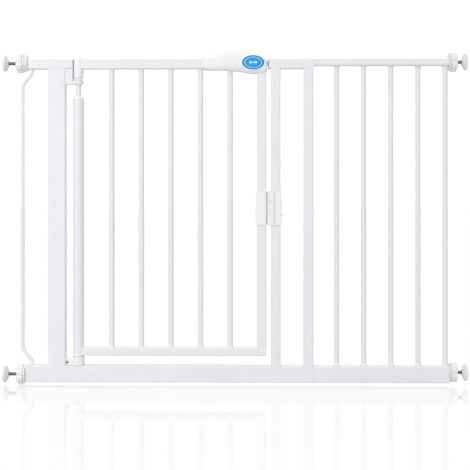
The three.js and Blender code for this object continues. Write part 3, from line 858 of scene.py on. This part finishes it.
def handle_shell(side):
    """One shell: side is -1 for the front and 1 for the back."""
    squareness = 3.4
    rings = []
    first, last = HANDLE_STATIONS[0][0], HANDLE_STATIONS[-1][0]
    count = 64
    for i in range(count + 1):
        x = first + (last - first) * math.sin(i / count * math.pi / 2) ** 0.9
        top, under, deep = (value * MM for value in between(HANDLE_STATIONS, x))
        middle, half = (top + under) / 2, (top - under) / 2
        ring = []
        for k in range(33):
            angle = math.pi / 2 - k / 32 * math.pi
            out = abs(math.cos(angle)) ** (2 / squareness)
            rise = math.copysign(abs(math.sin(angle)) ** (2 / squareness), math.sin(angle))
            seam = 0.5 * MM * max(0, 1 - out * deep / (0.8 * MM))
            y = side * max(SEAM, deep * out)
            ring.append(Vector((x * MM, y, middle + rise * (half - seam))))
        rings.append(ring)
    shell = skin(rings)
    rail_low, rail_high = ends_of("leaf_top_rail")
    stile_low, stile_high = ends_of("leaf_latch_stile")
    spare = 0.3 * MM
    deep = rail_high.y + spare
    shell = cut(
        shell,
        block(-0.2, rail_high.x + spare, -deep, deep, rail_low.z - spare, rail_high.z + spare),
    )
    shell = cut(
        shell,
        block(stile_low.x - spare, stile_high.x + spare, -deep, deep, 0.7, rail_high.z),
    )
    slide_low, slide_high = ends_of("thumb_slide")
    shell = cut(
        shell,
        block(
            slide_low.x - 9 * MM,
            slide_high.x + 0.6 * MM,
            slide_low.y - 0.5 * MM,
            slide_high.y + 0.5 * MM,
            rail_high.z - MM,
            0.82,
        ),
    )
    bolt_low, bolt_high = ends_of("latch_bolt")
    spare = 0.6 * MM
    shell = cut(
        shell,
        block(
            0.06,
            0.1,
            bolt_low.y - spare,
            bolt_high.y + spare,
            bolt_low.z - spare,
            bolt_high.z + spare,
        ),
    )
    for number in (4, 5):
        bar = middle_of(f"leaf_bar_{number}")
        shell = cut(shell, drill(7 * MM, Vector((bar.x, 0, 0.74)), 40 * MM))
    return shell


make_piece("handle_front_shell_moulded", handle_shell(-1), gloss_plastic, "handle_front_shell")
make_piece("handle_back_shell_moulded", handle_shell(1), gloss_plastic, "handle_back_shell")

# ---- Strike shade frame ----------------------------------------------------------
# A thin dark rubber frame is stuck on the face of the strike, round its pocket. Its dark
# grey is painted shade: it stands in for the shade in the gap between the handle's end and the
# strike.
gap_shade_rubber, tree, place = new_finish("dark_grey_gap_shade_rubber")
pits = grain(tree, place, 0.6, 3)
finish_with(
    tree,
    {
        "Base Color": tint(tree, pits, "737477", "828386"),
        "Roughness": spread(tree, pits, 0.6, 0.75),
    },
    pits,
    0.05,
    0.5,
)
SHADE_FRAME = 0.7 * MM
low, high = ends_of("strike_plug")
shade_frame = rounded_block(
    Vector((low.x - SHADE_FRAME, low.y + 0.6 * MM, low.z + 0.6 * MM)),
    Vector((low.x, high.y - 0.6 * MM, high.z - 0.6 * MM)),
    0,
    TUBE_CORNER,
)
middle = (low + high) / 2
shade_frame = cut(
    shade_frame,
    block(
        low.x - 0.01, low.x + 0.01, -6 * MM, 6 * MM, middle.z - 7.5 * MM, middle.z + 7.5 * MM
    ),
)
make_piece("strike_gap_shade_frame", shade_frame, gap_shade_rubber, body="frame")

# ---- Thumb slide -----------------------------------------------------------------
# The slide in the top of the handle draws the bolt back. Five raised ridges across it give
# the thumb a grip.
slide_low, slide_high = ends_of("thumb_slide")
RIDGES = 5


def thumb_slide():
    under = slide_high.z - 9.5 * MM
    cap = rounded_block(
        Vector((slide_low.x, slide_low.y, under)),
        Vector((slide_high.x, slide_high.y, slide_high.z - 0.9 * MM)),
        2,
        2 * MM,
        0.4 * MM,
    )
    pitch = (slide_high.x - slide_low.x) / (RIDGES + 0.5)
    for i in range(RIDGES):
        centre = slide_low.x + pitch * (i + 0.75)
        ridge = rounded_block(
            Vector((centre - 1.1 * MM, slide_low.y + 1.2 * MM, under + 4 * MM)),
            Vector((centre + 1.1 * MM, slide_high.y - 1.2 * MM, slide_high.z)),
            1,
            0.7 * MM,
        )
        cap = cut(cap, ridge, "UNION")
    bolt_low = ends_of("latch_bolt")[0]
    stem = block(
        bolt_low.x - 9 * MM, bolt_low.x - 0.5 * MM, -3 * MM, 3 * MM, slide_low.z, under + MM
    )
    return cut(cap, stem, "UNION")


make_piece("thumb_slide_moulded", thumb_slide(), grey_plastic, "thumb_slide")

# ---- Badge -----------------------------------------------------------------------
# A plain domed oval of bright blue plastic sits in a raised white rim on the handle's
# front. A white line and a two-way arrow are printed on it, to say that the gate opens
# both ways.
badge_low, badge_high = ends_of("handle_badge")
badge_middle = (badge_low + badge_high) / 2
badge_centre = Vector((badge_middle.x, badge_high.y, badge_middle.z))
badge_long = (badge_high.x - badge_low.x) / 2
badge_short = (badge_high.z - badge_low.z) / 2

badge_blue, tree, place = new_finish("domed_blue_badge")
swirl = grain(tree, place, 12)
centred = add_node(
    tree,
    "ShaderNodeMapping",
    {
        "Vector": place,
        "Location": (-badge_centre.x / badge_long, 0, -badge_centre.z / badge_short),
        "Scale": (1 / badge_long, 0, 1 / badge_short),
    },
).outputs["Vector"]
inward = add_node(
    tree, "ShaderNodeTexGradient", {"Vector": centred}, gradient_type="SPHERICAL"
).outputs["Fac"]
# The blue is darker in a thin band at the badge's oval edge.
edge_tone = add_node(
    tree, "ShaderNodeMapRange", {"Value": inward, "From Min": 0.03, "From Max": 0.16}
).outputs["Result"]
darker_edge_blue = add_node(tree, "ShaderNodeMix", {}, data_type="RGBA")
tree.links.new(edge_tone, darker_edge_blue.inputs["Factor"])
darker_edge_blue.inputs["A"].default_value = linear("0A6CB8")
tree.links.new(tint(tree, swirl, "04A0EE", "08AAF6"), darker_edge_blue.inputs["B"])
finish_with(
    tree,
    {
        "Base Color": darker_edge_blue.outputs["Result"],
        "Roughness": spread(tree, swirl, 0.14, 0.2),
        "Specular IOR Level": 0.2,
        "Coat Weight": 0.15,
        "Coat Roughness": 0.05,
    },
    swirl,
    0.02,
    0.1,
)


def oval(profile, closed=False):
    """Turns a profile about the badge's middle and squeezes it to the badge's oval."""
    bm = turned([(r, -d) for r, d in profile], badge_centre, "Y", 96, closed)
    lift = Matrix.Translation(badge_centre)
    squeeze = (1, 1, badge_short / badge_long)
    bmesh.ops.scale(bm, vec=squeeze, space=lift.inverted(), verts=bm.verts)
    return bm


thick = badge_high.y - badge_low.y
CROWN = 0.94
edge = [
    (badge_long * (CROWN + (1 - CROWN) * math.cos(t)), thick * (0.55 + 0.25 * math.sin(t)))
    for t in steps_to(90, 6)
]


def crown_height(share):
    """How far the crown stands out at a share of its half length from the middle."""
    return thick * (0.8 + 0.2 * (1 - share**2))


crown = [(badge_long * CROWN * share, crown_height(share)) for share in (0.9, 0.75, 0.55, 0.3, 0)]
domed = oval([(0, 0), (badge_long, 0), *edge, *crown])
make_piece("handle_badge_domed", domed, badge_blue, "handle_badge")

rim = badge_long + 0.2 * MM
RIM_WIDTH = 3.2 * MM
rim_profile = [(rim, 0), (rim, thick * 0.5)]
rim_profile += [
    (rim + RIM_WIDTH / 2 - RIM_WIDTH / 2 * math.cos(t), thick * (0.5 + 0.34 * math.sin(t)))
    for t in steps_to(180, 14)
]
rim_profile += [(rim + RIM_WIDTH, 0)]
make_piece("handle_badge_rim", oval(rim_profile, True), gloss_plastic, body="leaf")

badge_white, tree, place = new_finish("white_badge_print")
speck = grain(tree, place, 1.5)
finish_with(
    tree,
    {
        "Base Color": tint(tree, speck, "D8EEFA", "E6F5FC"),
        "Roughness": spread(tree, speck, 0.25, 0.32),
    },
    speck,
    0.01,
    0.2,
)


def printed_line(scale, width):
    """A thin raised oval line on the badge's crown."""
    middle = badge_long * scale
    inner, outer_edge = middle - width, middle + width
    base = crown_height(scale / CROWN)
    foot, shoulder = base - 0.3 * MM, base + 0.1 * MM
    profile = [(inner, foot), (inner, shoulder), (middle, base + 0.18 * MM)]
    profile += [(outer_edge, shoulder), (outer_edge, foot)]
    return oval(profile, True)


make_piece("badge_line", printed_line(0.78, 0.7 * MM), badge_white, body="leaf")


def two_way_arrow():
    """A flat arrow with a head at each end, extruded a little proud of the crown."""
    half, head, shaft = 10 * MM, 4.6 * MM, 1.2 * MM
    outline = [
        (-half, 0),
        (-half + head, head),
        (-half + head, shaft),
        (half - head, shaft),
        (half - head, head),
        (half, 0),
        (half - head, -head),
        (half - head, -shaft),
        (-half + head, -shaft),
        (-half + head, -head),
    ]
    front = badge_centre.y - thick - 0.12 * MM
    bm = bmesh.new()
    points = [bm.verts.new((badge_centre.x + x, front, badge_centre.z + z)) for x, z in outline]
    face = bm.faces.new(points)
    grown = bmesh.ops.extrude_face_region(bm, geom=[face])["geom"]
    moved = [v for v in grown if isinstance(v, bmesh.types.BMVert)]
    bmesh.ops.translate(bm, vec=(0, 0.9 * MM, 0), verts=moved)
    return bm


make_piece("badge_arrow", two_way_arrow(), badge_white, body="leaf")

# ---- Catch half way up -----------------------------------------------------------
# A moulded sleeve on the leaf's stile meets a moulded block round the latch post. The
# block's front and back are scored into three, and two screws hold it.
GROOVE = 0.6 * MM
GROOVE_DEPTH = 1.6 * MM
SCORE_INSET = 16.3 * MM


def catch_sleeve():
    low, high = ends_of("catch_sleeve")
    stile_low, stile_high = ends_of("leaf_latch_stile")
    sleeve = rounded_block(low, high, 2, 2.5 * MM, 0.7 * MM)
    spare = 0.1 * MM
    return cut(
        sleeve,
        block(
            stile_low.x - spare,
            stile_high.x + spare,
            stile_low.y - spare,
            stile_high.y + spare,
            low.z - MM,
            high.z + MM,
        ),
    )


def catch_block():
    low, high = ends_of("catch_block")
    post_low, post_high = ends_of("latch_post")
    body = rounded_block(low, high, 2, 2.5 * MM, 0.7 * MM)
    spare = 0.1 * MM
    body = cut(
        body,
        block(
            post_low.x - spare,
            post_high.x + spare,
            post_low.y - spare,
            post_high.y + spare,
            low.z - MM,
            high.z + MM,
        ),
    )
    edge = low.x + SCORE_INSET
    third = (high.z - low.z) / 3
    faces = ((low.y - MM, low.y + GROOVE_DEPTH), (high.y - GROOVE_DEPTH, high.y + MM))
    for front, back in faces:
        ends = (low.z + 1.5 * MM, high.z - 1.5 * MM)
        body = cut(body, block(edge - GROOVE, edge + GROOVE, front, back, *ends))
        for i in (1, 2):
            z = low.z + i * third
            body = cut(body, block(low.x - MM, edge, front, back, z - GROOVE, z + GROOVE))
    return body


make_piece("catch_sleeve_moulded", catch_sleeve(), gloss_plastic, "catch_sleeve")
block_piece = make_piece("catch_block_moulded", catch_block(), gloss_plastic, "catch_block")

# The long scored line of the block is painted a darker grey: painted shade in the groove.
groove_painted_shade, tree, place = new_finish("painted_shade_in_a_moulded_groove")
shade_mottle = grain(tree, place, 2, 3)
shade_surface = {
    "Base Color": tint(tree, shade_mottle, "B6B6BA", "CACACD"),
    "Roughness": spread(tree, shade_mottle, 0.7, 0.9),
}
finish_with(tree, shade_surface, shade_mottle, 0.05, 0.4)
# The faces inside the long groove take this painted shade.
block_piece.data.materials.append(groove_painted_shade)
block_low, block_high = ends_of("catch_block")
for face in block_piece.data.polygons:
    from_edge = abs(face.center.x - block_low.x - SCORE_INSET)
    sunk = min(face.center.y - block_low.y, block_high.y - face.center.y)
    if from_edge < GROOVE + 0.1 * MM and 0.1 * MM < sunk < GROOVE_DEPTH + 0.1 * MM:
        face.material_index = 1

# A soft grey strip on the sleeve's edge meets the block. Its grey is painted shade: it stands in
# for the shade in the gap between sleeve and block.
gap_shade_strip_finish, tree, place = new_finish("soft_grey_gap_shade_rubber")
pits = grain(tree, place, 0.6, 3)
matt = {
    "Base Color": tint(tree, pits, "A2A3A6", "AEAFB2"),
    "Roughness": spread(tree, pits, 0.6, 0.75),
}
finish_with(tree, matt, pits, 0.05, 0.5)
STRIP = 1.1 * MM
STRIP_HALF_DEPTH = 9 * MM
sleeve_low, sleeve_high = ends_of("catch_sleeve")
strip = rounded_block(
    Vector((sleeve_high.x - 0.1 * MM, -STRIP_HALF_DEPTH, sleeve_low.z + 1.5 * MM)),
    Vector((sleeve_high.x + STRIP, STRIP_HALF_DEPTH, sleeve_high.z - 1.5 * MM)),
    2,
    0.4 * MM,
)
make_piece("catch_gap_shade_strip", strip, gap_shade_strip_finish, body="leaf")

# ---- Pressure fixings ------------------------------------------------------------
# At each corner an M8 rod runs out of the rail through a hand nut and ends in a wall pad.
# The nut has a six-lobed grip and a ring, and the top left one a neck too. The pad is a
# soft grey moulding with rings on its face that grip the wall.
pad_rubber, tree, place = new_finish("soft_grey_pad")
bite = grain(tree, place, 0.8, 3)
scuff = grain(tree, place, 7)
finish_with(
    tree,
    {
        "Base Color": tint(tree, scuff, "EEEEF0", "F3F3F4"),
        "Roughness": spread(tree, bite, 0.5, 0.62),
        "IOR": 1.48,
    },
    bite,
    0.04,
    0.5,
)

THREAD_PITCH = 1.25 * MM
THREAD_DEPTH = 0.61 * MM
LOBES = 6
NOTCH = 2.6 * MM


def threaded_rod(node):
    """A true helical thread, cut flat at both ends."""
    low, high = ends_of(node)
    crest = (high.z - low.z) / 2
    root = crest - THREAD_DEPTH
    centre = (low + high) / 2
    start = low.x - 2 * THREAD_PITCH
    turns = math.ceil((high.x - low.x) / THREAD_PITCH) + 4
    per_turn = 20
    bm = bmesh.new()
    corners = [(0, root), (0.12, root), (0.5, crest), (0.62, crest), (1, root)]
    points = [
        bm.verts.new((start + part * THREAD_PITCH, centre.y + r, centre.z)) for part, r in corners
    ]
    lines = [bm.edges.new(pair) for pair in zip(points, points[1:])]
    bmesh.ops.spin(
        bm,
        geom=points + lines,
        cent=centre,
        axis=(1, 0, 0),
        dvec=(THREAD_PITCH / per_turn, 0, 0),
        angle=math.tau * turns,
        steps=per_turn * turns,
    )
    bmesh.ops.remove_doubles(bm, verts=bm.verts, dist=1e-5)
    for end, out in ((low, -1), (high, 1)):
        whole = bm.verts[:] + bm.edges[:] + bm.faces[:]
        bmesh.ops.bisect_plane(
            bm, geom=whole, plane_co=end, plane_no=(out, 0, 0), clear_outer=True
        )
    bmesh.ops.holes_fill(bm, edges=[e for e in bm.edges if e.is_boundary], sides=0)
    return bm


def hand_nut(node, out):
    """The flange is against the rail, and the lobed grip is towards the wall."""
    low, high = ends_of(node)
    centre = (low + high) / 2
    radius = 23
    length = (high.x - low.x) / MM
    grip = length - 14
    start = low.x if out > 0 else high.x
    neck = [(4.4, 0.4), (4.8, 0), (17.4, 0), (18.6, 0.5), (19, 1.4), (19, 3.2), (18.2, 4.2)]
    neck += [(18.2, grip - 6), (19.2, grip - 5.2), (20.4, grip - 4.9)]
    edge = [(4.4, 0.4), (4.8, 0), (20, 0), (20.8, 0.4)]
    ring = [(21, grip - 4), (21, grip - 1.8), (20.5, grip - 1.2), (18.6, grip - 1)]
    ring += [(18.4, grip + 0.4), (19.4, grip + 0.7)]
    knob = [(21.4, grip), (22.5, grip + 0.5), (radius, grip + 1.6), (radius, grip + 10.6)]
    knob += [(22.7, grip + 12), (21.8, grip + 13.2), (20.4, length - 0.2), (19, length)]
    face = [(15.6, length), (14.8, length - 0.5), (14.4, length - 1.8), (9.2, length - 1.8)]
    face += [(8.6, length - 1.2), (8.3, length), (4.8, length), (4.4, length - 0.4)]
    profile = (neck if grip > 8 else edge) + ring + knob + face
    axis_start = Vector((start, centre.y, centre.z))
    bm = turned([(r * MM, d * MM * out) for r, d in profile], axis_start, "X", 120, True)
    for vert in bm.verts:
        reach = math.hypot(vert.co.y - centre.y, vert.co.z - centre.z)
        if abs(vert.co.x - start) < (grip - 0.1) * MM or reach < 19.5 * MM:
            continue
        angle = math.atan2(vert.co.z - centre.z, vert.co.y - centre.y)
        depth = min(1, (reach / MM - 19.5) / 2)
        dip = NOTCH * depth * abs(math.cos(LOBES / 2 * angle)) ** 5
        vert.co.y -= math.cos(angle) * dip
        vert.co.z -= math.sin(angle) * dip
    return bm


def wall_pad(node, out):
    """A domed back on a round foot, whose face has three raised rings."""
    low, high = ends_of(node)
    centre = (low + high) / 2
    start = low.x if out > 0 else high.x
    back = [(0, 7.8), (4.3, 7.8), (4.3, 0.3), (4.6, 0), (7.4, 0), (8.2, 0.3), (8.6, 1)]
    back += [(9.4, 1.9), (11.6, 2.6), (13.6, 3.2), (14.4, 3.9), (14.7, 4.8), (16.9, 5.1)]
    rim = [(18.4, 5.8), (19.2, 6.8), (19.5, 8), (19.5, 9.8), (19.2, 11), (18.3, 11.8)]
    rim += [(17.2, 12), (16.8, 11.2), (14.2, 11.2), (13.8, 12), (12, 12), (11.6, 11.2)]
    rings = [(9.6, 11.2), (9.2, 12), (7.4, 12), (7, 11.2), (4.4, 11.2), (4, 12), (0, 12)]
    hub = Vector((start, centre.y, centre.z))
    return turned([(r * MM, d * MM * out) for r, d in back + rim + rings], hub, "X", 80)


CORNERS = ("top_left", "bottom_left", "top_right", "bottom_right")
for corner in CORNERS:
    out = 1 if corner.endswith("right") else -1
    rod, nut, pad = f"rod_{corner}", f"nut_{corner}", f"pad_{corner}"
    make_piece(f"{rod}_plated", threaded_rod(rod), zinc, rod)
    make_piece(f"{nut}_moulded", hand_nut(nut, out), grey_plastic, nut)
    make_piece(f"{pad}_moulded", wall_pad(pad, out), pad_rubber, pad)

# ---- Pieces kept from the CAD model ----------------------------------------------
# The rail plugs, the strike, the bolt, the spindle and the springs have their real shape
# already, and take only their finish here.
kept = {
    gloss_plastic: [f"rail_plug_{corner}" for corner in CORNERS],
    grey_plastic: ["strike_plug"],
    zinc: ["latch_bolt", "hinge_spindle"],
    spring_steel: ["closing_spring", "latch_spring"],
}
for finish, nodes in kept.items():
    for node in nodes:
        for slot in frame["nodes"][node].material_slots:
            slot.material = finish

# ---- Floor, light and camera -----------------------------------------------------
# The gate stands on a sheet of white acrylic, lit from below, that runs back into a white
# background. Soft panels light it from the front left and from above.
floor_finish, tree, place = new_finish("backlit_gloss_acrylic_floor")
haze = grain(tree, place, 400)
seen = add_node(tree, "ShaderNodeLightPath", {}).outputs["Is Camera Ray"]
glow = add_node(tree, "ShaderNodeMix", {"Factor": seen, "A": 0.62, "B": 1.02})
glow_colour = tint(tree, haze, "FDFDFD", "FFFFFF")
backlight = add_node(
    tree, "ShaderNodeEmission", {"Color": glow_colour, "Strength": glow.outputs["Result"]}
)
gloss = add_node(tree, "ShaderNodeBsdfGlossy", {"Color": linear("FFFFFF"), "Roughness": 0.08})
sheen = add_node(tree, "ShaderNodeFresnel", {"IOR": 1.5}).outputs["Fac"]
top_layer = add_node(tree, "ShaderNodeMixShader", {0: sheen})
tree.links.new(backlight.outputs["Emission"], top_layer.inputs[1])
tree.links.new(gloss.outputs["BSDF"], top_layer.inputs[2])
add_node(tree, "ShaderNodeOutputMaterial", {"Surface": top_layer.outputs["Shader"]})
bm = bmesh.new()
bmesh.ops.create_grid(bm, x_segments=8, y_segments=8, size=12)
mesh = bpy.data.meshes.new("studio_floor")
bm.to_mesh(mesh)
bm.free()
floor = bpy.data.objects.new("studio_floor", mesh)
floor.data.materials.append(floor_finish)
bpy.context.scene.collection.objects.link(floor)
floor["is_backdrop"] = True

world = bpy.data.worlds.new("white_studio")
bpy.context.scene.world = world
world.use_nodes = True
tree = world.node_tree
tree.nodes.clear()
direction = add_node(tree, "ShaderNodeTexCoord", {}).outputs["Generated"]
parts = add_node(tree, "ShaderNodeSeparateXYZ", {"Vector": direction})
side_on = add_node(tree, "ShaderNodeMath", {0: parts.outputs["X"]}, operation="ABSOLUTE")
dimmed = add_node(
    tree,
    "ShaderNodeMapRange",
    {"Value": side_on.outputs[0], "From Min": 0.3, "From Max": 1.0, "To Min": 1.0, "To Max": 0.3},
)
seen = add_node(tree, "ShaderNodeLightPath", {}).outputs["Is Camera Ray"]
strength = add_node(tree, "ShaderNodeMix", {"Factor": seen, "B": 1.1})
tree.links.new(dimmed.outputs["Result"], strength.inputs["A"])
background = add_node(
    tree,
    "ShaderNodeBackground",
    {"Color": linear("FFFFFF"), "Strength": strength.outputs["Result"]},
)
add_node(tree, "ShaderNodeOutputWorld", {"Surface": background.outputs["Background"]})


def soft_light(name, place, size, power):
    """A square panel light that faces the middle of the gate."""
    lamp = bpy.data.lights.new(name, "AREA")
    lamp.size = size
    lamp.energy = power
    holder = bpy.data.objects.new(name, lamp)
    holder.location = place
    aim = Vector((0, 0, 0.4)) - Vector(place)
    holder.rotation_euler = aim.to_track_quat("-Z", "Y").to_euler()
    bpy.context.scene.collection.objects.link(holder)


soft_light("key_panel", (-1.7, -2.0, 1.0), 1.2, 13)
soft_light("top_panel", (0.3, -1.6, 2.6), 1.4, 5.5)

CAMERA_DISTANCE = 2.3
CAMERA_HEIGHT = 0.5
CAMERA_YAW = math.radians(0.9)
CAMERA_OFFSET = 1.4 * MM
FIELD_WIDTH = 1.1173
lens = bpy.data.cameras.new("front_camera")
lens.lens = lens.sensor_width * CAMERA_DISTANCE / FIELD_WIDTH
lens.shift_y = -0.13
camera = bpy.data.objects.new("front_camera", lens)
camera.location = (
    CAMERA_OFFSET + CAMERA_DISTANCE * math.sin(CAMERA_YAW),
    -CAMERA_DISTANCE * math.cos(CAMERA_YAW),
    CAMERA_HEIGHT,
)
camera.rotation_euler = (math.pi / 2, 0, CAMERA_YAW)
bpy.context.scene.collection.objects.link(camera)
bpy.context.scene.camera = camera
bpy.context.scene.view_settings.view_transform = "Standard"

low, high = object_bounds()
